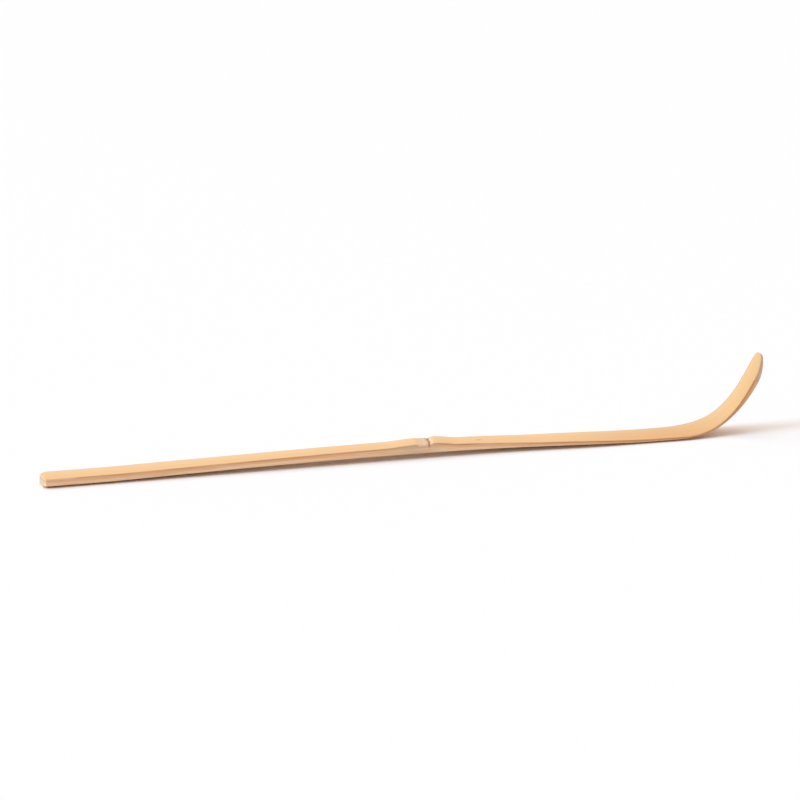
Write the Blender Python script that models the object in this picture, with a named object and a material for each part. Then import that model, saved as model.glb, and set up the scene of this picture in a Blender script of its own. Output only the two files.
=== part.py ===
"""Bamboo tea scoop: one strip of bamboo, planed thin, with a blade bent up at one end by heat.

The strip is a single piece, so the part is a single closed body. It lies skin side up, as it is
used and as it rests on a table: the butt end and the root of the bend touch the table, and the
underside arches up between them, highest under the node of the bamboo.

Frame: metres, +X from the butt end towards the blade, +Y across the strip, +Z up. The origin is
the middle of the bottom of the scoop's box. Distances along the strip are measured on its
underside, from the butt end.
"""

import math

import bmesh
import bpy

MM = 0.001
NAME = "tea_scoop"

# Lengths along the underside, in order from the butt end.
HANDLE_LENGTH = 94.6 * MM       # butt end to the scar of the node
SHAFT_LENGTH = 59.6 * MM        # scar of the node to the start of the bend
BEND_LENGTH = 28.5 * MM         # start of the bend to the start of the rounded nose
NOSE_LENGTH = 6.6 * MM          # rounded end of the blade

# Widths, across the strip.
BUTT_WIDTH = 6.3 * MM
WAIST_WIDTH = 5.6 * MM          # narrowest stretch of the handle
WAIST_BEFORE_NODE = 6.0 * MM
SHOULDER_WIDTH = 9.0 * MM       # widest place, at the start of the bend
NOSE_WIDTH = 5.5 * MM           # where the rounded nose starts
TIP_WIDTH = 0.9 * MM            # small flat that is left at the very tip
NOSE_FULLNESS = 1.78            # 2 rounds the nose as an ellipse, less makes it more pointed

# Thicknesses, from the underside to the middle of the skin.
BUTT_THICKNESS = 2.24 * MM
HANDLE_THICKNESS = 2.17 * MM    # halfway along the handle
NODE_THICKNESS = 2.30 * MM      # without the swellings beside the scar
SHAFT_THICKNESS = 1.67 * MM     # halfway along the shaft
SHOULDER_THICKNESS = 1.28 * MM  # at the start of the bend
BEND_THICKNESS = 1.05 * MM      # thinnest place, in the middle of the bend
NOSE_THICKNESS = 1.62 * MM      # where the rounded nose starts
TIP_THICKNESS = 0.62 * MM       # the underside is shaved thin towards the very tip

# How the strip bends.
REST_LENGTH = 12.0 * MM         # flat stretch of the underside at the butt end
CONTACT_LENGTH = 4.0 * MM       # flat stretch of the underside before the bend
ARCH_HEIGHT = 0.78 * MM         # clearance under the node
ARCH_EASE = 9.0 * MM            # how gently the arch leaves the table
BLADE_ANGLE = math.radians(68)  # slope of the tip above the table

# The node: a swelling on either side of the scar that the leaf sheath left.
SCAR_WIDTH = 1.0 * MM
SCAR_DEPTH = 0.28 * MM
SHEATH_SWELL = 0.40 * MM        # height of the swelling on the butt side
SHEATH_SWELL_GAP = 3.5 * MM     # from its crest to the scar
SHEATH_SWELL_REACH = 8.0 * MM   # how far it runs out towards the butt
RING_SWELL = 0.50 * MM          # height of the swelling on the blade side
RING_SWELL_GAP = 1.2 * MM
RING_SWELL_REACH = 6.5 * MM
SADDLE_HEIGHT = 0.28 * MM       # what is left of the swellings between crest and scar

# The section across the strip.
CULM_RADIUS = 28.0 * MM         # radius of the bamboo stem that the skin keeps
TOP_CHAMFER = 0.18 * MM
UNDERCUT_RISE = 0.55 * MM       # how far the long lower edges stay off the table
BLADE_UNDERCUT_RISE = 0.15 * MM
FOOT_SHARE = 0.45               # share of the width that is flat underneath
BUTT_CORNER = 0.70 * MM         # rounded corners of the butt end, seen from above
BUTT_EDGE = 0.20 * MM           # softened top and bottom edges of the butt end

# How finely the body is divided.
LONG_STEP = 4.0 * MM
NODE_STEP = 0.45 * MM
BEND_STEP = 1.3 * MM
BEND_FIRST_STEP = 4.0 * MM      # one plain facet where the underside leaves the table
BUTT_STEPS = 3
NOSE_STEPS = 10
CROWN_POINTS = 9
WALK_STEP = 0.05 * MM           # step used when the underside is traced

SKIN_COLOR = (0.90, 0.62, 0.34, 1.0)
SKIN_ROUGHNESS = 0.45

NODE_AT = HANDLE_LENGTH
BEND_AT = NODE_AT + SHAFT_LENGTH
NOSE_AT = BEND_AT + BEND_LENGTH
STRIP_LENGTH = NOSE_AT + NOSE_LENGTH
ARCH_END = BEND_AT - CONTACT_LENGTH


def ease(t):
    """Rises smoothly from 0 to 1, level at both ends."""
    t = min(max(t, 0.0), 1.0)
    return t * t * (3.0 - 2.0 * t)


def through(stations, s):
    """Reads a value at s from (place, value) pairs joined by smooth steps."""
    if s <= stations[0][0]:
        return stations[0][1]
    for (start, before), (end, after) in zip(stations, stations[1:]):
        if s <= end:
            return before + (after - before) * ease((s - start) / (end - start))
    return stations[-1][1]


def width_at(s):
    """Full width of the strip, with the rounded nose and the rounded corners of the butt."""
    width = through((
        (0.0, BUTT_WIDTH),
        (NODE_AT - WAIST_BEFORE_NODE, WAIST_WIDTH),
        (BEND_AT, SHOULDER_WIDTH),
        (NOSE_AT, NOSE_WIDTH),
    ), s)
    if s < BUTT_CORNER:
        inset = BUTT_CORNER - s
        width -= 2.0 * (BUTT_CORNER - math.sqrt(BUTT_CORNER ** 2 - inset ** 2))
    if s > NOSE_AT:
        along = min((s - NOSE_AT) / NOSE_LENGTH, 1.0)
        taper = (1.0 - along ** NOSE_FULLNESS) ** (1.0 / NOSE_FULLNESS)
        width = TIP_WIDTH + (width - TIP_WIDTH) * taper
    return width


def swelling_at(s):
    """Height of the node's swellings and its scar over the plain skin."""
    sheath_crest = NODE_AT - SHEATH_SWELL_GAP
    ring_crest = NODE_AT + RING_SWELL_GAP
    if s < sheath_crest:
        height = SHEATH_SWELL * ease(1.0 - (sheath_crest - s) / SHEATH_SWELL_REACH)
    elif s < NODE_AT:
        drop = ease((s - sheath_crest) / (SHEATH_SWELL_GAP - SCAR_WIDTH / 2))
        height = SHEATH_SWELL + (SADDLE_HEIGHT - SHEATH_SWELL) * drop
    elif s < ring_crest:
        rise = ease((s - NODE_AT) / RING_SWELL_GAP)
        height = SADDLE_HEIGHT + (RING_SWELL - SADDLE_HEIGHT) * rise
    else:
        height = RING_SWELL * ease(1.0 - (s - ring_crest) / RING_SWELL_REACH)
    scar = max(0.0, 1.0 - abs(s - NODE_AT) / (SCAR_WIDTH / 2))
    return height - SCAR_DEPTH * ease(scar)


def thickness_at(s):
    """Thickness at the middle of the strip."""
    plain = through((
        (0.0, BUTT_THICKNESS),
        (NODE_AT / 2, HANDLE_THICKNESS),
        (NODE_AT, NODE_THICKNESS),
        (NODE_AT + SHAFT_LENGTH / 2, SHAFT_THICKNESS),
        (BEND_AT, SHOULDER_THICKNESS),
        (BEND_AT + BEND_LENGTH / 2, BEND_THICKNESS),
        (NOSE_AT, NOSE_THICKNESS),
    ), s)
    softened = BUTT_EDGE * (1.0 - ease(s / BUTT_EDGE))
    return plain + swelling_at(s) - softened


def shaving_at(s):
    """How much of the underside is shaved away, at the butt's lower edge and towards the tip."""
    if s < BUTT_CORNER:
        return BUTT_EDGE * (1.0 - ease(s / BUTT_CORNER))
    along = max(s - NOSE_AT, 0.0) / NOSE_LENGTH
    return (NOSE_THICKNESS - TIP_THICKNESS) * along * along


def arch_slope(s):
    """Shape of the underside's slope over the arch, +1 at its foot and -1 at its far end."""
    if s <= REST_LENGTH or s >= ARCH_END:
        return 0.0
    along = (s - REST_LENGTH) / (ARCH_END - REST_LENGTH)
    nearest_foot = min(s - REST_LENGTH, ARCH_END - s)
    return math.cos(math.pi * along) * ease(nearest_foot / ARCH_EASE)


def trace_underside():
    """Walks along the underside and returns (s, x, z, slope) at every small step."""
    steps = round(STRIP_LENGTH / WALK_STEP)
    step = STRIP_LENGTH / steps
    half_rise = sum(arch_slope(i * step) for i in range(steps) if arch_slope(i * step) > 0) * step
    steepness = ARCH_HEIGHT / half_rise
    x = z = 0.0
    line = [(0.0, 0.0, 0.0, 0.0)]
    for i in range(1, steps + 1):
        s = i * step
        along = max(s - BEND_AT, 0.0) / (BEND_LENGTH + NOSE_LENGTH)
        bend = BLADE_ANGLE * ease(along)
        slope = steepness * arch_slope(s) + bend
        x += step * math.cos(slope)
        z += step * math.sin(slope)
        line.append((s, x, z, slope))
    return line


def stations():
    """Places along the strip where a section is made, closer where the shape changes fast."""
    places = {0.0, REST_LENGTH, ARCH_END, BEND_AT, NOSE_AT}
    for i in range(BUTT_STEPS + 1):
        places.add(BUTT_CORNER * (1.0 - math.cos(i / BUTT_STEPS * math.pi / 2)))
    for i in range(NOSE_STEPS + 1):
        places.add(NOSE_AT + NOSE_LENGTH * math.sin(i / NOSE_STEPS * math.pi / 2))
    node_start = NODE_AT - SHEATH_SWELL_GAP - SHEATH_SWELL_REACH
    node_end = NODE_AT + RING_SWELL_GAP + RING_SWELL_REACH
    stretches = (
        (BUTT_CORNER, node_start, LONG_STEP),
        (node_start, NODE_AT - SHEATH_SWELL_GAP, 3 * NODE_STEP),
        (NODE_AT - SHEATH_SWELL_GAP, NODE_AT + RING_SWELL_GAP, NODE_STEP),
        (NODE_AT + RING_SWELL_GAP, node_end, 3 * NODE_STEP),
        (node_end, ARCH_END, LONG_STEP),
        (BEND_AT + BEND_FIRST_STEP, NOSE_AT, BEND_STEP),
    )
    for start, end, step in stretches:
        count = max(1, round((end - start) / step))
        places.update(start + (end - start) * i / count for i in range(count + 1))
    places.update((NODE_AT - SCAR_WIDTH / 2, NODE_AT, NODE_AT + SCAR_WIDTH / 2))
    shortest = 0.02 * MM
    kept = []
    for place in sorted(places):
        if not kept or place - kept[-1] > shortest:
            kept.append(place)
    kept[-1] = STRIP_LENGTH
    return kept


def section_outline(s):
    """Outline across the strip as (across, height) points, from one lower corner round."""
    half = width_at(s) / 2
    thickness = thickness_at(s)
    underside = shaving_at(s)
    bend_middle = BEND_AT + BEND_LENGTH / 2
    undercut = through(((BEND_AT, UNDERCUT_RISE), (bend_middle, BLADE_UNDERCUT_RISE)), s)
    undercut = min(undercut, (thickness - underside) / 3)
    foot = half * FOOT_SHARE
    top = min(TOP_CHAMFER, half / 2, (thickness - underside) / 3)
    shoulder = half - top
    crown_middle = thickness - CULM_RADIUS
    shoulder_height = crown_middle + math.sqrt(CULM_RADIUS ** 2 - shoulder ** 2)
    points = [(-foot, underside), (0.0, underside), (foot, underside)]
    points.append((half, underside + undercut))
    points.append((half, shoulder_height - top))
    for i in range(CROWN_POINTS):
        across = shoulder * math.cos(math.pi * i / (CROWN_POINTS - 1))
        height = crown_middle + math.sqrt(CULM_RADIUS ** 2 - across ** 2)
        points.append((across, height))
    points.append((-half, shoulder_height - top))
    points.append((-half, underside + undercut))
    return points


def make_strip():
    """Lofts the body through its sections: no modifier follows a bend with a changing section."""
    line = trace_underside()
    last = len(line) - 1
    mesh = bmesh.new()
    rings = []
    for s in stations():
        _, x, z, slope = line[round(s / STRIP_LENGTH * last)]
        ring = []
        for across, height in section_outline(s):
            point = (x - height * math.sin(slope), across, z + height * math.cos(slope))
            ring.append(mesh.verts.new(point))
        rings.append(ring)
    for ring, following in zip(rings, rings[1:]):
        for i in range(len(ring)):
            j = (i + 1) % len(ring)
            mesh.faces.new((ring[i], ring[j], following[j], following[i]))
    mesh.faces.new(rings[0])
    mesh.faces.new(rings[-1])
    bmesh.ops.recalc_face_normals(mesh, faces=mesh.faces)
    place_origin(mesh)
    return mesh


def place_origin(mesh):
    """Moves the body so that the origin is the middle of the bottom of its box."""
    xs = [vert.co.x for vert in mesh.verts]
    lowest = min(vert.co.z for vert in mesh.verts)
    middle = (min(xs) + max(xs)) / 2
    bmesh.ops.translate(mesh, verts=mesh.verts, vec=(-middle, 0.0, -lowest))


def bamboo_material():
    material = bpy.data.materials.new("bamboo")
    material.use_nodes = True
    shader = material.node_tree.nodes["Principled BSDF"]
    shader.inputs["Base Color"].default_value = SKIN_COLOR
    shader.inputs["Roughness"].default_value = SKIN_ROUGHNESS
    shader.inputs["Metallic"].default_value = 0.0
    material.diffuse_color = SKIN_COLOR
    return material


def main():
    for old in list(bpy.data.objects):
        bpy.data.objects.remove(old, do_unlink=True)
    collection = bpy.data.collections.new("bamboo_tea_scoop")
    bpy.context.scene.collection.children.link(collection)
    mesh = bpy.data.meshes.new(NAME)
    strip = make_strip()
    strip.to_mesh(mesh)
    strip.free()
    mesh.shade_smooth()
    mesh.set_sharp_from_angle(angle=math.radians(30))
    mesh.materials.append(bamboo_material())
    collection.objects.link(bpy.data.objects.new(NAME, mesh))


main()
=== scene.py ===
"""Looks of a bamboo tea scoop: one strip of planed bamboo with a bent blade, on a white table.

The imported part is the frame. It gives the scoop's box, and the strip shown here is lofted again at
a finer scale over nearly the same driving sizes, with rounder edges, the skewed scar of the node
and the cut-off corner of the butt end as real relief. Metres, +X from the butt end towards the
blade, +Z up.
"""

import math

import bmesh
import bpy
from mathutils import Matrix, Vector, noise


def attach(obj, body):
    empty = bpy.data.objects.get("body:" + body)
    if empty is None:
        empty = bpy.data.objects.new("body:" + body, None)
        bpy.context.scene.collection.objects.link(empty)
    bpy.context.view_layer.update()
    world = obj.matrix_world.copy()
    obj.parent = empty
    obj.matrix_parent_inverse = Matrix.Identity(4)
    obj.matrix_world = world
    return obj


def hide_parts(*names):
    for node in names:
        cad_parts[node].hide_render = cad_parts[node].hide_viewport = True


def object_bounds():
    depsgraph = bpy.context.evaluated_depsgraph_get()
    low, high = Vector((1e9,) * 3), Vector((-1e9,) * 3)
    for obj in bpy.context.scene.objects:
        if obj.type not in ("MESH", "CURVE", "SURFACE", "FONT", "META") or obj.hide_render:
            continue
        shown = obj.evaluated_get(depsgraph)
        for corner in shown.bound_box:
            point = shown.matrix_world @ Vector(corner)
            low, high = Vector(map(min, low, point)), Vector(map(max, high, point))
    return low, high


MM = 0.001

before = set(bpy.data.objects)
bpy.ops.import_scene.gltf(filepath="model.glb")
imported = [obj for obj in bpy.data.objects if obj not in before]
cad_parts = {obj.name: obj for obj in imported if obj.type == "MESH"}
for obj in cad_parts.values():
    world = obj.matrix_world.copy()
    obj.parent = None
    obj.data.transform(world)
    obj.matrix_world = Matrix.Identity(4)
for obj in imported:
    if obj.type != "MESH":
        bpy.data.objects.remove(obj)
cad_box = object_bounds()

# The strip's driving sizes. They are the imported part's, apart from the two kinds of fullness of the
# nose, the thickness of the bend and of the nose, and the extra width of the shoulder.
HANDLE_LENGTH = 94.6 * MM
SHAFT_LENGTH = 59.6 * MM
BEND_LENGTH = 28.5 * MM
NOSE_LENGTH = 6.6 * MM
BUTT_WIDTH = 6.3 * MM
WAIST_WIDTH = 5.6 * MM
WAIST_BEFORE_NODE = 6.0 * MM
SHOULDER_WIDTH = 9.0 * MM
NOSE_WIDTH = 5.5 * MM
TIP_WIDTH = 0.9 * MM
NEAR_FULLNESS = 2.7             # the nose is fuller on the near side,
FAR_FULLNESS = 1.5              # so its far side runs on almost straight
BUTT_THICKNESS = 2.24 * MM
HANDLE_THICKNESS = 2.17 * MM
NODE_THICKNESS = 2.30 * MM
SHAFT_THICKNESS = 1.67 * MM
SHOULDER_THICKNESS = 1.28 * MM
BEND_THICKNESS = 0.92 * MM
NOSE_THICKNESS = 1.58 * MM
TIP_THICKNESS = 0.62 * MM
REST_LENGTH = 12.0 * MM
CONTACT_LENGTH = 4.0 * MM
ARCH_HEIGHT = 0.78 * MM
ARCH_EASE = 9.0 * MM
BLADE_ANGLE = math.radians(68)
CULM_RADIUS = 28.0 * MM
SHOULDER_FULLNESS = 0.8 * MM    # extra width just after the start of the bend
SHOULDER_FULLNESS_AT = 162.0 * MM
SHOULDER_FULLNESS_REACH = 9.0 * MM

NODE_AT = HANDLE_LENGTH
BEND_AT = NODE_AT + SHAFT_LENGTH
NOSE_AT = BEND_AT + BEND_LENGTH
STRIP_LENGTH = NOSE_AT + NOSE_LENGTH
ARCH_END = BEND_AT - CONTACT_LENGTH

# The strip is not quite straight: where its middle lies, seen from above.
SWAY = (
    (108.0 * MM, 0.0),
    (138.0 * MM, -0.8 * MM),
    (BEND_AT, -0.8 * MM),
    (166.0 * MM, -0.3 * MM),
    (175.0 * MM, -0.12 * MM),
    (NOSE_AT, -0.3 * MM),
    (STRIP_LENGTH, 0.25 * MM),
)

# The node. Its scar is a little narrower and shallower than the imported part's.
SCAR_AT = NODE_AT - 0.6 * MM
SCAR_WIDTH = 0.9 * MM
SCAR_DEPTH = 0.24 * MM
SCAR_SLANT = 0.9 * MM           # the scar runs askew: how far its near end lies towards the butt
SCAR_WAVE = 0.12 * MM
SHEATH_SWELL = 0.40 * MM
SHEATH_SWELL_GAP = 3.5 * MM
SHEATH_SWELL_REACH = 8.0 * MM
RING_SWELL = 0.50 * MM
RING_SWELL_GAP = 1.2 * MM
RING_SWELL_REACH = 6.5 * MM
SADDLE_HEIGHT = 0.28 * MM
SHEATH_DROP = 1.1 * MM          # the sheath's swelling ends in a short step

# Edges of the section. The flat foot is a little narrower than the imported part's.
TOP_EDGE = 0.16 * MM
BOTTOM_EDGE = 0.12 * MM
UNDERCUT_RISE = 0.55 * MM       # how far the long lower edges stay off the table
BLADE_UNDERCUT_RISE = 0.15 * MM
FOOT_SHARE = 0.40               # share of the width that is flat underneath
UNDERCUT_ROUNDING = 1.25
NEAR_CORNER = 0.35 * MM         # butt corner towards the camera
FAR_CUT_LENGTH = 2.3 * MM       # the back corner is cut off: along the strip
FAR_CUT_WIDTH = 2.5 * MM        # and across it
FAR_CUT_ROUNDING = 1.2
BUTT_EDGE = 0.20 * MM
BUTT_EDGE_SHARE = 0.6           # how much of the end's rounding the long sides take

KNOT_AT = 106.5 * MM            # a small dark fleck in the skin
KNOT_ACROSS = -0.6 * MM

# Colours, as they would be on screen in even white light, apart from the painted sheen and painted shade
# marked below.
SKIN_NEAR_COLOR = (246, 198, 143)
# the far edge's paler colour is a painted sheen, standing for the white room's reflection where the crown
# turns away
SKIN_FAR_SHEEN_COLOR = (250, 213, 166)
SKIN_WARM_COLOR = (248, 201, 143)
FIBRE_COLOR = (222, 174, 122)
RIM_COLOR = (196, 143, 98)
RIM_LINE_COLOR = (184, 129, 86)
# painted shade for the underside's long lower edges, which sit in the contact shadow
LOWER_EDGE_SHADE_COLOR = (204, 134, 76)
NODE_COLOR = (231, 194, 160)
NODE_SIDE_COLOR = (206, 176, 146)
PATCH_COLOR = (240, 214, 172)
SHEATH_COLOR = (236, 215, 190)
# the scar's own dark line, deepened with painted shade in its groove
SCAR_AND_SHADE_COLOR = (140, 104, 92)
KNOT_COLOR = (165, 112, 74)
DENSE_COLOR = (232, 182, 138)
FLESH_COLOR = (248, 206, 166)
PALE_COLOR = (252, 218, 182)
STREAK_COLOR = (218, 168, 126)
CUT_DENSE_COLOR = (205, 170, 141)
CUT_COLOR = (220, 190, 160)
NOSE_SIDE_COLOR = (206, 160, 122)
TOASTED = (243, 233, 224)       # the heat of bending browns the strip, and painted shade greys and darkens the blade, as it faces the low key lights
BLADE_SHADE_TINT = (244, 248, 248)    # and the blade itself comes out greyer
FLOOR_COLOR = (249, 249, 252)
FLOOR_SHADE_COLOR = (246, 246, 249)

# How finely the shown strip is divided.
LONG_STEP = 0.6 * MM
FINE_STEP = 0.14 * MM
BOTTOM_POINTS = 14
SIDE_POINTS = 9
CROWN_POINTS = 25
ROUND_POINTS = 4
WALK_STEP = 0.02 * MM
NOSE_STEPS = 40
SHARP_ANGLE = math.radians(38)

SKIN, SIDE, INNER, CUT = range(4)

# The camera looks at TARGET from DISTANCE away, through a long lens, and is tilted by ROLL.
TARGET = Vector((-3.61, 0.0, 13.46)) * MM
DISTANCE = 0.9458
AZIMUTH = math.radians(-25.03)
ELEVATION = math.radians(14.95)
ROLL = math.radians(2.67)
LENS = 186.8

# Soft studio light: an even warm room, a big softbox above, and a wide, cooler one low on the left,
# made of three side by side. Each has the way its light comes from, its apparent size in degrees,
# its strength and its colour.
WORLD_COLOR = (1.0, 0.87, 0.76)
WORLD_STRENGTH = 0.60
KEY_COLOR = (0.50, 0.79, 1.0)
LIGHTS = (
    ("key_front", (-0.900, -0.134, 0.42), 9, 0.66, KEY_COLOR),
    ("key_middle", (-0.908, -0.030, 0.42), 9, 0.66, KEY_COLOR),
    ("key_back", (-0.906, 0.084, 0.42), 9, 0.66, KEY_COLOR),
    ("top_soft", (-0.26, 0.26, 0.93), 70, 1.18, (1.0, 0.985, 0.965)),
)


def ease(t):
    """Rises smoothly from 0 to 1, level at both ends."""
    t = min(max(t, 0.0), 1.0)
    return t * t * (3.0 - 2.0 * t)


def through(stations, s):
    """Reads a value at s from (place, value) pairs joined by smooth steps."""
    if s <= stations[0][0]:
        return stations[0][1]
    for (start, before), (end, after) in zip(stations, stations[1:]):
        if s <= end:
            return before + (after - before) * ease((s - start) / (end - start))
    return stations[-1][1]


def wander(s, length, seed):
    """Slow, repeatable unevenness along the strip, from -1 to 1."""
    return noise.noise(Vector((s / length, seed * 7.3, 0.5)))


def half_width(s, far):
    """Distance from the middle to one long side; the far butt corner is cut off."""
    width = through((
        (0.0, BUTT_WIDTH),
        (NODE_AT - WAIST_BEFORE_NODE, WAIST_WIDTH),
        (BEND_AT, SHOULDER_WIDTH),
        (NOSE_AT, NOSE_WIDTH),
    ), s)
    width += SHOULDER_FULLNESS * ease(1.0 - abs(s - SHOULDER_FULLNESS_AT) / SHOULDER_FULLNESS_REACH)
    if s > NOSE_AT:
        along = min((s - NOSE_AT) / NOSE_LENGTH, 1.0)
        fullness = FAR_FULLNESS if far else NEAR_FULLNESS
        taper = (1.0 - along ** fullness) ** (1.0 / fullness)
        width = TIP_WIDTH + (width - TIP_WIDTH) * taper
    half = width / 2
    if far and s < FAR_CUT_LENGTH:
        half -= FAR_CUT_WIDTH * (1.0 - s / FAR_CUT_LENGTH) ** FAR_CUT_ROUNDING
    if not far and s < NEAR_CORNER:
        half -= NEAR_CORNER - math.sqrt(NEAR_CORNER ** 2 - (NEAR_CORNER - s) ** 2)
    return half


def node_distance(s, across):
    """Signed distance along the strip to the scar, which runs askew across it."""
    lean = across / (WAIST_WIDTH / 2)
    return s - SCAR_AT - SCAR_SLANT * lean + SCAR_WAVE * math.sin(5.0 * lean)


def swelling(d):
    """Height of the node's swellings and its scar at a distance d from the scar."""
    if d < -SHEATH_SWELL_GAP:
        height = SHEATH_SWELL * ease(1.0 + (d + SHEATH_SWELL_GAP) / SHEATH_SWELL_REACH)
    elif d < 0.0:
        drop = ease((d + SHEATH_SWELL_GAP) / SHEATH_DROP)
        height = SHEATH_SWELL + (SADDLE_HEIGHT - SHEATH_SWELL) * drop
    elif d < RING_SWELL_GAP:
        height = SADDLE_HEIGHT + (RING_SWELL - SADDLE_HEIGHT) * ease(d / RING_SWELL_GAP)
    else:
        height = RING_SWELL * ease(1.0 - (d - RING_SWELL_GAP) / RING_SWELL_REACH)
    return height - SCAR_DEPTH * ease(1.0 - abs(d) / (SCAR_WIDTH / 2))


def plain_thickness(s):
    return through((
        (0.0, BUTT_THICKNESS),
        (NODE_AT / 2, HANDLE_THICKNESS),
        (NODE_AT, NODE_THICKNESS),
        (NODE_AT + SHAFT_LENGTH / 2, SHAFT_THICKNESS),
        (BEND_AT, SHOULDER_THICKNESS),
        (BEND_AT + BEND_LENGTH / 2, BEND_THICKNESS),
        (NOSE_AT, NOSE_THICKNESS),
    ), s)


def skin_height(s, across):
    """Height of the skin over the underside's line, at a place across the strip."""
    crown = math.sqrt(CULM_RADIUS ** 2 - across ** 2) - CULM_RADIUS
    return plain_thickness(s) + crown + swelling(node_distance(s, across))


def shaving(s):
    """How much of the underside is shaved away towards the tip."""
    along = max(s - NOSE_AT, 0.0) / NOSE_LENGTH
    return (NOSE_THICKNESS - TIP_THICKNESS) * along * along


def undercut(s, across):
    """Height of the rounded underside over its flat middle; across is positive on the far side."""
    half = half_width(s, across > 0.0)
    away = min(max(abs(across) / half - FOOT_SHARE, 0.0) / (1.0 - FOOT_SHARE), 1.0)
    rise = through(((BEND_AT, UNDERCUT_RISE), (BEND_AT + BEND_LENGTH / 2, BLADE_UNDERCUT_RISE)), s)
    rise = min(rise, (plain_thickness(s) - shaving(s)) / 3)
    return rise * away ** UNDERCUT_ROUNDING


def arch_slope(s):
    if s <= REST_LENGTH or s >= ARCH_END:
        return 0.0
    along = (s - REST_LENGTH) / (ARCH_END - REST_LENGTH)
    nearest_foot = min(s - REST_LENGTH, ARCH_END - s)
    return math.cos(math.pi * along) * ease(nearest_foot / ARCH_EASE)


def trace_underside():
    """Walks along the underside and returns (x, z, slope) at every small step."""
    steps = round(STRIP_LENGTH / WALK_STEP)
    step = STRIP_LENGTH / steps
    half_rise = sum(max(arch_slope(i * step), 0.0) for i in range(steps)) * step
    steepness = ARCH_HEIGHT / half_rise
    x = z = 0.0
    line = [(0.0, 0.0, 0.0)]
    for i in range(1, steps + 1):
        s = i * step
        bend = BLADE_ANGLE * ease((s - BEND_AT) / (BEND_LENGTH + NOSE_LENGTH))
        slope = steepness * arch_slope(s) + bend
        x += step * math.cos(slope)
        z += step * math.sin(slope)
        line.append((x, z, slope))
    return line


def places_along():
    """Places along the strip where a section is made, closer at the ends and the node."""
    fine = 2.2 * FINE_STEP
    stretches = (
        (0.0, BUTT_EDGE, FINE_STEP / 4),
        (BUTT_EDGE, FAR_CUT_LENGTH + 1.0 * MM, FINE_STEP),
        (FAR_CUT_LENGTH + 1.0 * MM, NODE_AT - 14.0 * MM, LONG_STEP),
        (NODE_AT - 14.0 * MM, NODE_AT - 6.0 * MM, fine),
        (NODE_AT - 6.0 * MM, NODE_AT + 4.0 * MM, FINE_STEP),
        (NODE_AT + 4.0 * MM, NODE_AT + 12.0 * MM, fine),
        (NODE_AT + 12.0 * MM, BEND_AT, LONG_STEP),
        (BEND_AT, NOSE_AT, LONG_STEP),
    )
    places = []
    for start, end, step in stretches:
        count = max(1, round((end - start) / step))
        places += [start + (end - start) * i / count for i in range(count)]
    for i in range(NOSE_STEPS + 1):
        places.append(NOSE_AT + NOSE_LENGTH * math.sin(i / NOSE_STEPS * math.pi / 2))
    return places


def spread(start, end, count):
    return [start + (end - start) * (i + 0.5) / count for i in range(count)]


def section(s):
    """Outline of one section as (across, height, material of the face after the point)."""
    near = half_width(s, far=False)
    far = half_width(s, far=True)
    base = shaving(s)
    inset = 0.0
    if s < BUTT_EDGE:
        inset = BUTT_EDGE - math.sqrt(BUTT_EDGE ** 2 - (BUTT_EDGE - s) ** 2)
    near -= inset * BUTT_EDGE_SHARE
    far -= inset * BUTT_EDGE_SHARE
    base += inset
    depth = skin_height(s, 0.0) - base - undercut(s, -near)
    top = min(TOP_EDGE * (1.0 + 0.4 * wander(s, 9 * MM, 3)), near / 2, depth / 3)
    bottom = min(BOTTOM_EDGE * (1.0 + 0.3 * wander(s, 12 * MM, 4)), near / 2, depth / 3)
    cut_far = s < FAR_CUT_LENGTH or s > NOSE_AT
    cut_near = s > NOSE_AT
    across_bottom = spread(-near + bottom, far - bottom, BOTTOM_POINTS)
    points = [(y, base + undercut(s, y), INNER) for y in across_bottom]
    for side, half in ((1, far), (-1, near)):
        foot = base + undercut(s, side * (half - bottom))
        edge_height = skin_height(s, side * (half - top)) - inset
        flank = CUT if (cut_far if side > 0 else cut_near) else SIDE
        low = []
        for i in range(ROUND_POINTS + 1):
            turn = math.pi / 2 * i / ROUND_POINTS
            across = half - bottom + bottom * math.sin(turn)
            low.append((side * across, foot + bottom - bottom * math.cos(turn), flank))
        walls = spread(foot + bottom, edge_height - top, SIDE_POINTS)
        low += [(side * half, height, flank) for height in walls]
        for i in range(ROUND_POINTS + 1):
            turn = math.pi / 2 * i / ROUND_POINTS
            across = half - top + top * math.cos(turn)
            low.append((side * across, edge_height - top + top * math.sin(turn), flank))
        if side > 0:
            points += low
            crown = spread(far - top, -near + top, CROWN_POINTS)
            points += [(y, skin_height(s, y) - inset, SKIN) for y in crown]
        else:
            points += reversed(low)
    return points


def sway(s):
    """How far the strip's middle lies off the straight line, as it is not quite straight."""
    return through(SWAY, s)


def point_at(line, s):
    """Place and slope of the underside at s, read between two steps of the walk."""
    position = s / STRIP_LENGTH * (len(line) - 1)
    low = min(int(position), len(line) - 2)
    share = position - low
    return [a + (b - a) * share for a, b in zip(line[low], line[low + 1])]


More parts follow.
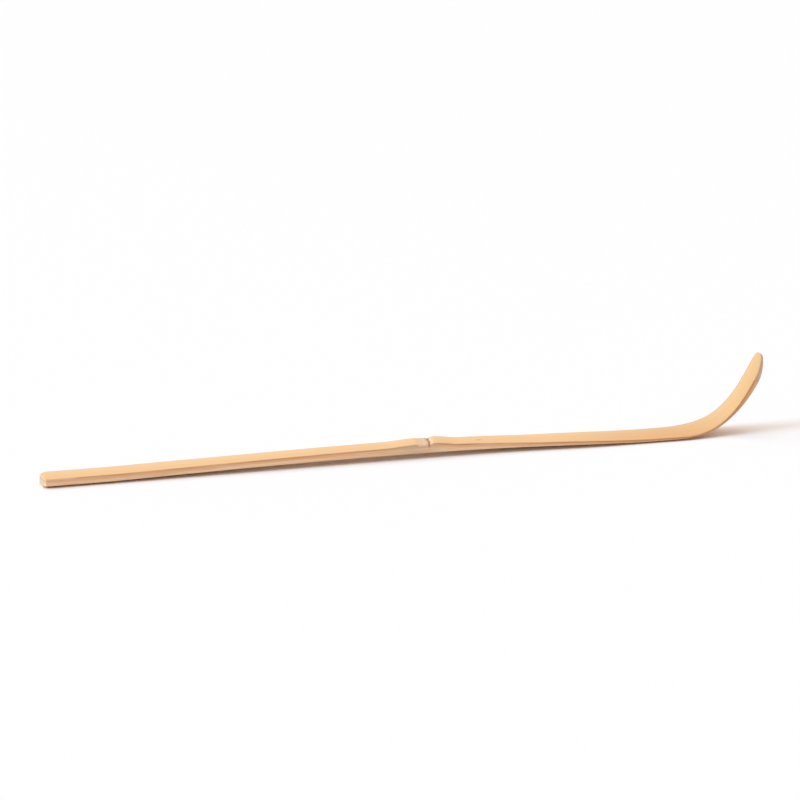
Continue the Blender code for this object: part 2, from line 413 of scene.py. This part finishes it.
def make_strip():
    """Lofts the strip and writes where each point lies in the bamboo as mesh attributes."""
    line = trace_underside()
    start = Vector((cad_box[0].x, 0.0, cad_box[0].z))
    mesh = bpy.data.meshes.new("scoop_strip")
    bm = bmesh.new()
    strip = bm.verts.layers.float_vector.new("strip")
    rind = bm.verts.layers.float_vector.new("rind")
    rings = []
    for s in places_along():
        x, z, slope = point_at(line, s)
        ring = []
        for across, height, kind in section(s):
            place = Vector((x - height * math.sin(slope), across + sway(s), z + height * math.cos(slope)))
            vert = bm.verts.new(start + place)
            vert[strip] = Vector((s, across, height))
            depth = max(skin_height(s, across) - height, 0.0)
            edge = half_width(s, across > 0.0) - abs(across)
            vert[rind] = Vector((depth, edge, node_distance(s, across)))
            ring.append((vert, kind))
        rings.append(ring)
    count = len(rings[0])
    for before, after in zip(rings, rings[1:]):
        for i in range(count):
            j = (i + 1) % count
            face = bm.faces.new((before[i][0], before[j][0], after[j][0], after[i][0]))
            face.material_index = before[i][1]
    for ring in (rings[0], rings[-1]):
        bm.faces.new([vert for vert, kind in ring]).material_index = CUT
    bmesh.ops.recalc_face_normals(bm, faces=bm.faces)
    for face in bm.faces:
        face.smooth = True
    bm.to_mesh(mesh)
    bm.free()
    mesh.set_sharp_from_angle(angle=SHARP_ANGLE)
    scoop = bpy.data.objects.new("scoop_strip", mesh)
    bpy.context.scene.collection.objects.link(scoop)
    return scoop


def rgb(screen_color):
    """A colour given as 0 to 255 on screen, in the linear values that shaders use."""
    def linear(value):
        value /= 255.0
        return value / 12.92 if value <= 0.04045 else ((value + 0.055) / 1.055) ** 2.4
    return (*map(linear, screen_color), 1.0)


class Shader:
    """Builds one material's node tree; every method returns the socket that it makes."""

    def __init__(self, name, **surface):
        self.material = bpy.data.materials.new(name)
        self.material.use_nodes = True
        self.tree = self.material.node_tree
        self.surface = self.tree.nodes["Principled BSDF"]
        for socket, value in surface.items():
            self.surface.inputs[socket.replace("_", " ")].default_value = value

    def feed(self, socket, value):
        if isinstance(value, bpy.types.NodeSocket):
            self.tree.links.new(value, socket)
        else:
            socket.default_value = value

    def split(self, attribute):
        """The three numbers of a mesh attribute."""
        node = self.tree.nodes.new("ShaderNodeAttribute")
        node.attribute_name = attribute
        parts = self.tree.nodes.new("ShaderNodeSeparateXYZ")
        self.feed(parts.inputs[0], node.outputs["Vector"])
        return parts.outputs[0], parts.outputs[1], parts.outputs[2]

    def math(self, operation, *values):
        node = self.tree.nodes.new("ShaderNodeMath")
        node.operation = operation
        for socket, value in zip(node.inputs, values):
            self.feed(socket, value)
        return node.outputs[0]

    def rise(self, value, start, end):
        """0 before start and 1 after end; falls instead when end is before start."""
        node = self.tree.nodes.new("ShaderNodeMapRange")
        node.interpolation_type = "SMOOTHSTEP"
        self.feed(node.inputs["Value"], value)
        low, high = min(start, end), max(start, end)
        node.inputs["From Min"].default_value = low
        node.inputs["From Max"].default_value = high
        node.inputs["To Min"].default_value = 0.0 if start < end else 1.0
        node.inputs["To Max"].default_value = 1.0 if start < end else 0.0
        return node.outputs["Result"]

    def band(self, value, centre, reach):
        """1 at the centre and 0 from reach away on."""
        away = self.math("ABSOLUTE", self.math("SUBTRACT", value, centre))
        return self.rise(away, reach, 0.0)

    def grain(self, lengths, seed, detail=2.0):
        """Noise that is drawn out to these lengths along, across and through the strip."""
        parts = self.split("strip")
        join = self.tree.nodes.new("ShaderNodeCombineXYZ")
        for socket, part, length in zip(join.inputs, parts, lengths):
            self.feed(socket, self.math("MULTIPLY_ADD", part, 1.0 / length, seed * 3.7))
        node = self.tree.nodes.new("ShaderNodeTexNoise")
        self.feed(node.inputs["Vector"], join.outputs[0])
        node.inputs["Scale"].default_value = 1.0
        node.inputs["Detail"].default_value = detail
        node.inputs["Roughness"].default_value = 0.55
        return node.outputs[0]

    def mix(self, share, before, after, blend="MIX"):
        node = self.tree.nodes.new("ShaderNodeMix")
        node.data_type = "RGBA"
        node.blend_type = blend
        self.feed(node.inputs["Factor"], share)
        self.feed(node.inputs[6], rgb(before) if isinstance(before, tuple) else before)
        self.feed(node.inputs[7], rgb(after) if isinstance(after, tuple) else after)
        return node.outputs[2]

    def bump(self, height, distance, before=None):
        node = self.tree.nodes.new("ShaderNodeBump")
        node.inputs["Distance"].default_value = distance
        self.feed(node.inputs["Height"], height)
        if before is not None:
            self.feed(node.inputs["Normal"], before)
        return node.outputs[0]

    def finish(self, color, roughness, normal):
        self.feed(self.surface.inputs["Base Color"], color)
        self.feed(self.surface.inputs["Roughness"], roughness)
        self.feed(self.surface.inputs["Normal"], normal)
        return self.material


def node_marks(shader, color):
    """Colours the saddle between the two swellings, the scar, partly darkened with painted shade in its
    groove, and the pale remains of the sheath.
    """
    depth, _, distance = shader.split("rind")
    speck = shader.grain((0.5 * MM, 0.35 * MM, 0.5 * MM), 11)
    ragged = shader.math("MULTIPLY_ADD", speck, 0.5 * MM, distance)
    ragged = shader.math("SUBTRACT", ragged, 0.25 * MM)
    saddle = shader.math("MULTIPLY",
                         shader.rise(ragged, -SHEATH_SWELL_GAP, -SHEATH_SWELL_GAP + 1.3 * MM),
                         shader.rise(ragged, 0.6 * MM, -0.1 * MM))
    near_skin = shader.rise(depth, 0.5 * MM, 0.15 * MM)
    color = shader.mix(shader.math("MULTIPLY", saddle, near_skin), color, NODE_COLOR)
    pale = shader.math("MAXIMUM", shader.band(ragged, -1.35 * MM, 0.30 * MM),
                       shader.band(ragged, 0.62 * MM, 0.26 * MM))
    pale = shader.math("MULTIPLY", shader.math("MULTIPLY", pale, near_skin), 0.6)
    color = shader.mix(pale, color, SHEATH_COLOR)
    # The scar's dark line is partly its own colour and partly painted shade in the groove.
    scar = shader.math("MULTIPLY", shader.band(ragged, 0.0, 0.45 * MM), near_skin)
    return shader.mix(shader.math("MULTIPLY", scar, 0.9), color, SCAR_AND_SHADE_COLOR)


def toast_and_shade(shader, color, along):
    """Browns the blade, from the start of the bend on, then greys and darkens it with painted shade, as it
    faces the low lights.
    """
    share = shader.rise(along, BEND_AT - 36.0 * MM, BEND_AT + 8.0 * MM)
    color = shader.mix(share, color, TOASTED, "MULTIPLY")
    # Painted shade: the blade faces the low lights on the left, so its colour is darkened and greyed here.
    share = shader.rise(along, BEND_AT + 2.0 * MM, BEND_AT + 18.0 * MM)
    return shader.mix(share, color, BLADE_SHADE_TINT, "MULTIPLY")


def skin_material():
    """The skin of the culm: smooth straw colour, fine fibres, darker along its planed edges, and paler
    towards its far edge with a painted sheen.
    """
    shader = Shader("bamboo_skin", IOR=1.48)
    along, across, _ = shader.split("strip")
    _, edge, _ = shader.split("rind")
    cloud = shader.grain((26 * MM, 1.6 * MM, 3 * MM), 1)
    fibre = shader.grain((9 * MM, 0.16 * MM, 1 * MM), 2, detail=4.0)
    fleck = shader.grain((2.2 * MM, 0.11 * MM, 1 * MM), 3)
    # Paler towards the far edge: a painted sheen, standing for the room's reflection rather than the skin's
    # own colour.
    color = shader.mix(shader.rise(across, -3.0 * MM, 3.5 * MM), SKIN_NEAR_COLOR, SKIN_FAR_SHEEN_COLOR)
    color = shader.mix(shader.math("MULTIPLY", shader.rise(cloud, 0.35, 0.7), 0.6), color, SKIN_WARM_COLOR)
    color = shader.mix(shader.math("MULTIPLY", shader.rise(fibre, 0.5, 0.72), 0.35), color, FIBRE_COLOR)
    color = shader.mix(shader.math("MULTIPLY", shader.rise(fleck, 0.66, 0.8), 0.45), color, FIBRE_COLOR)
    rim = shader.math("MULTIPLY", shader.rise(edge, 0.55 * MM, 0.1 * MM), shader.rise(fibre, 0.25, 0.6))
    color = shader.mix(shader.math("MULTIPLY", rim, 0.4), color, RIM_COLOR)
    knot = shader.math("MULTIPLY", shader.band(along, KNOT_AT, 1.2 * MM),
                       shader.band(across, KNOT_ACROSS, 0.4 * MM))
    color = shader.mix(shader.math("MULTIPLY", knot, 0.95), color, KNOT_COLOR)
    color = node_marks(shader, color)
    color = toast_and_shade(shader, color, along)
    roughness = shader.math("MULTIPLY_ADD", fibre, 0.22, 0.30)
    normal = shader.bump(fibre, 0.012 * MM)
    return shader.finish(color, roughness, normal)


def flesh_color(shader, seed):
    """Flesh of the culm: dense dark fibre right under the skin, paler and streaky deeper down."""
    depth, _, _ = shader.split("rind")
    fine = shader.grain((7 * MM, 0.2 * MM, 0.09 * MM), seed, detail=3.0)
    broad = shader.grain((18 * MM, 0.8 * MM, 0.34 * MM), seed + 1)
    wavy = shader.math("MULTIPLY_ADD", broad, 0.5 * MM, depth)
    color = shader.mix(shader.rise(wavy, 0.75 * MM, 1.25 * MM), DENSE_COLOR, FLESH_COLOR)
    line = shader.math("MULTIPLY", shader.rise(depth, 0.42 * MM, 0.12 * MM), shader.rise(broad, 0.2, 0.6))
    color = shader.mix(shader.math("MULTIPLY", line, 0.9), color, RIM_LINE_COLOR)
    streak = shader.math("MULTIPLY", shader.rise(fine, 0.46, 0.66), 0.7)
    color = shader.mix(streak, color, STREAK_COLOR)
    pale = shader.math("MULTIPLY", shader.rise(broad, 0.52, 0.7), 0.5)
    return shader.mix(pale, color, PALE_COLOR), fine


def side_material():
    """The planed long sides, cut along the fibres."""
    shader = Shader("bamboo_side", IOR=1.45)
    along, _, _ = shader.split("strip")
    depth, _, distance = shader.split("rind")
    color, fine = flesh_color(shader, 21)
    grey = shader.math("MULTIPLY", shader.band(distance, -3.0 * MM, 12.0 * MM), shader.rise(fine, 0.3, 0.6))
    color = shader.mix(shader.math("MULTIPLY", grey, 0.8), color, NODE_SIDE_COLOR)
    patch = shader.math("MULTIPLY", shader.band(distance, 4.0 * MM, 4.0 * MM),
                        shader.rise(depth, 1.0 * MM, 1.6 * MM))
    color = shader.mix(shader.math("MULTIPLY", patch, 0.8), color, PATCH_COLOR)
    color = node_marks(shader, color)
    color = toast_and_shade(shader, color, along)
    roughness = shader.math("MULTIPLY_ADD", fine, 0.2, 0.46)
    return shader.finish(color, roughness, shader.bump(fine, 0.03 * MM))


def inner_material():
    """The planed underside: pale, open flesh with wide-set fibres, browned with painted shade along its
    long lower edges.
    """
    shader = Shader("bamboo_inner", IOR=1.45)
    fine = shader.grain((11 * MM, 0.14 * MM, 0.6 * MM), 31, detail=3.0)
    broad = shader.grain((24 * MM, 0.9 * MM, 2 * MM), 32)
    vessel = shader.grain((5 * MM, 0.17 * MM, 1 * MM), 33)
    color = shader.mix(shader.rise(broad, 0.3, 0.7), FLESH_COLOR, PALE_COLOR)
    color = shader.mix(shader.math("MULTIPLY", shader.rise(fine, 0.48, 0.7), 0.4), color, STREAK_COLOR)
    color = shader.mix(shader.math("MULTIPLY", shader.rise(vessel, 0.64, 0.76), 0.55), color, RIM_COLOR)
    _, edge, _ = shader.split("rind")
    # Painted shade: the undercut's long lower edges sit in the contact shadow next to the table and are
    # browned for it.
    lower_edge_shade = shader.math("MULTIPLY", shader.rise(edge, 1.9 * MM, 0.7 * MM), 0.85)
    color = shader.mix(lower_edge_shade, color, LOWER_EDGE_SHADE_COLOR)
    roughness = shader.math("MULTIPLY_ADD", fine, 0.2, 0.52)
    return shader.finish(color, roughness, shader.bump(fine, 0.04 * MM))


def cut_material():
    """Fibres cut across, at the butt end and round the nose: small dark dots in pale flesh."""
    shader = Shader("bamboo_cut", IOR=1.45)
    along, across, height = shader.split("strip")
    depth, _, _ = shader.split("rind")
    cells = shader.tree.nodes.new("ShaderNodeTexVoronoi")
    join = shader.tree.nodes.new("ShaderNodeCombineXYZ")
    for socket, part in zip(join.inputs, (along, across, height)):
        length = 4 * MM if part == along else 0.30 * MM
        shader.feed(socket, shader.math("DIVIDE", part, length))
    shader.feed(cells.inputs["Vector"], join.outputs[0])
    cells.inputs["Scale"].default_value = 1.0
    dots = shader.rise(cells.outputs["Distance"], 0.42, 0.24)
    speck = shader.grain((0.6 * MM, 0.12 * MM, 0.12 * MM), 41, detail=3.0)
    color = shader.mix(shader.rise(depth, 0.2 * MM, 1.2 * MM), CUT_DENSE_COLOR, CUT_COLOR)
    color = shader.mix(shader.band(along, NOSE_AT, 2.5 * MM), color, NOSE_SIDE_COLOR)
    color = shader.mix(shader.math("MULTIPLY", dots, 0.45), color, STREAK_COLOR)
    color = shader.mix(shader.math("MULTIPLY", shader.rise(speck, 0.5, 0.75), 0.25), color, PALE_COLOR)
    height_map = shader.math("MULTIPLY_ADD", dots, -0.5, speck)
    roughness = shader.math("MULTIPLY_ADD", speck, 0.15, 0.6)
    return shader.finish(color, roughness, shader.bump(height_map, 0.03 * MM))


def make_floor():
    """A plain white table top."""
    bpy.ops.mesh.primitive_plane_add(size=8.0)
    floor = bpy.context.object
    floor.name = "floor"
    floor.location.z = -0.02 * MM   # just clear of the scoop's flat feet
    shader = Shader("floor_paper", IOR=1.4)
    texture = shader.tree.nodes.new("ShaderNodeTexNoise")
    place = shader.tree.nodes.new("ShaderNodeNewGeometry")
    shader.feed(texture.inputs["Vector"], place.outputs["Position"])
    texture.inputs["Scale"].default_value = 900.0
    color = shader.mix(texture.outputs[0], FLOOR_COLOR, FLOOR_SHADE_COLOR)
    floor.data.materials.append(shader.finish(color, 0.9, shader.bump(texture.outputs[0], 0.002 * MM)))


def make_light(name, direction, apparent_size, strength, color):
    """A softbox so far away that it lights the whole table evenly."""
    light = bpy.data.lights.new(name, "SUN")
    light.angle = math.radians(apparent_size)
    light.energy = strength
    light.color = color
    lamp = bpy.data.objects.new(name, light)
    bpy.context.scene.collection.objects.link(lamp)
    lamp.rotation_euler = Vector(direction).to_track_quat("Z", "Y").to_euler()


def make_lights():
    world = bpy.data.worlds.new("studio")
    bpy.context.scene.world = world
    world.use_nodes = True
    background = world.node_tree.nodes["Background"]
    background.inputs["Color"].default_value = (*WORLD_COLOR, 1.0)
    background.inputs["Strength"].default_value = WORLD_STRENGTH
    for light in LIGHTS:
        make_light(*light)


def make_camera():
    data = bpy.data.cameras.new("camera")
    data.lens = LENS
    data.sensor_width = 36.0
    data.clip_start = 0.05
    data.clip_end = 20.0
    camera = bpy.data.objects.new("camera", data)
    bpy.context.scene.collection.objects.link(camera)
    back = Vector((
        math.sin(AZIMUTH) * math.cos(ELEVATION),
        -math.cos(AZIMUTH) * math.cos(ELEVATION),
        math.sin(ELEVATION),
    ))
    level_right = Vector((math.cos(AZIMUTH), math.sin(AZIMUTH), 0.0))
    level_up = back.cross(level_right)
    right = level_right * math.cos(ROLL) + level_up * math.sin(ROLL)
    up = level_up * math.cos(ROLL) - level_right * math.sin(ROLL)
    axes = Matrix((right, up, back)).transposed().to_4x4()
    camera.matrix_world = Matrix.Translation(TARGET + back * DISTANCE) @ axes
    bpy.context.scene.camera = camera


scoop = make_strip()
for make_material in (skin_material, side_material, inner_material, cut_material):
    scoop.data.materials.append(make_material())
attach(scoop, "root")
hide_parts("tea_scoop")

make_floor()
make_lights()
make_camera()
bpy.context.scene.view_settings.view_transform = "Standard"
